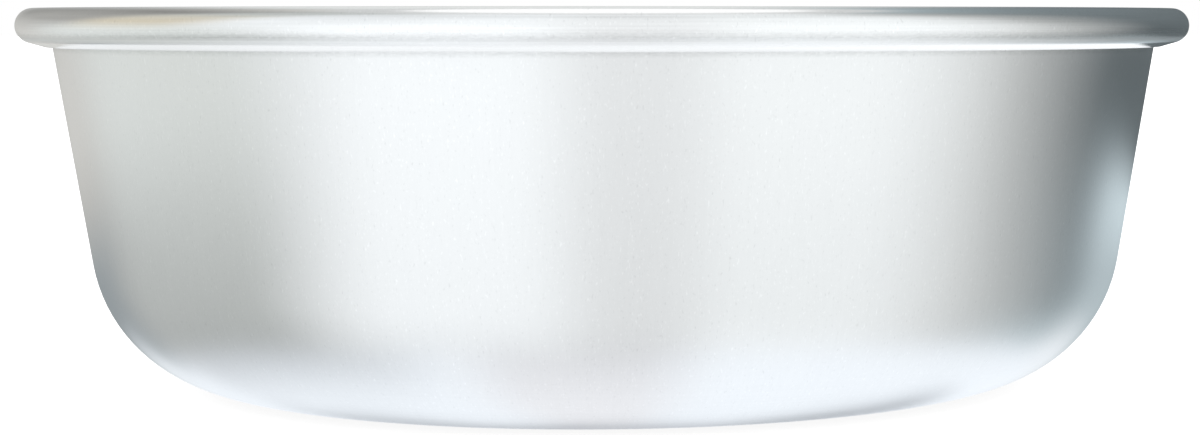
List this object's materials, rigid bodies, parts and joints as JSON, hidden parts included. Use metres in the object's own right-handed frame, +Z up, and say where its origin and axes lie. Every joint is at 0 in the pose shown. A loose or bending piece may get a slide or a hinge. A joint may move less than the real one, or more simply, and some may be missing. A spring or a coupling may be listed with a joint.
{
  "type": "ring cake pan",
  "caption": "Round ring cake pan of satin aluminium sheet: tapered wall, deep rounded base corner, rim rolled over a wire, and a tapered centre tube open right through.",
  "frame": {"origin": "middle of the base, on the surface that the pan stands on", "axes": "+Z up along the axis of the pan, towards the mouth"},
  "size_m": [0.24, 0.24, 0.0775],
  "materials": {
    "shell_aluminium": "satin anodised, fine drawing marks",
    "tube_aluminium": "satin anodised, fine drawing marks",
    "wire_steel": "plain drawn wire"
  },
  "bodies": {
    "root": {"pan_shell": "shell_aluminium", "rim_wire": "wire_steel", "centre_tube": "tube_aluminium"}
  },
  "joints": []
}
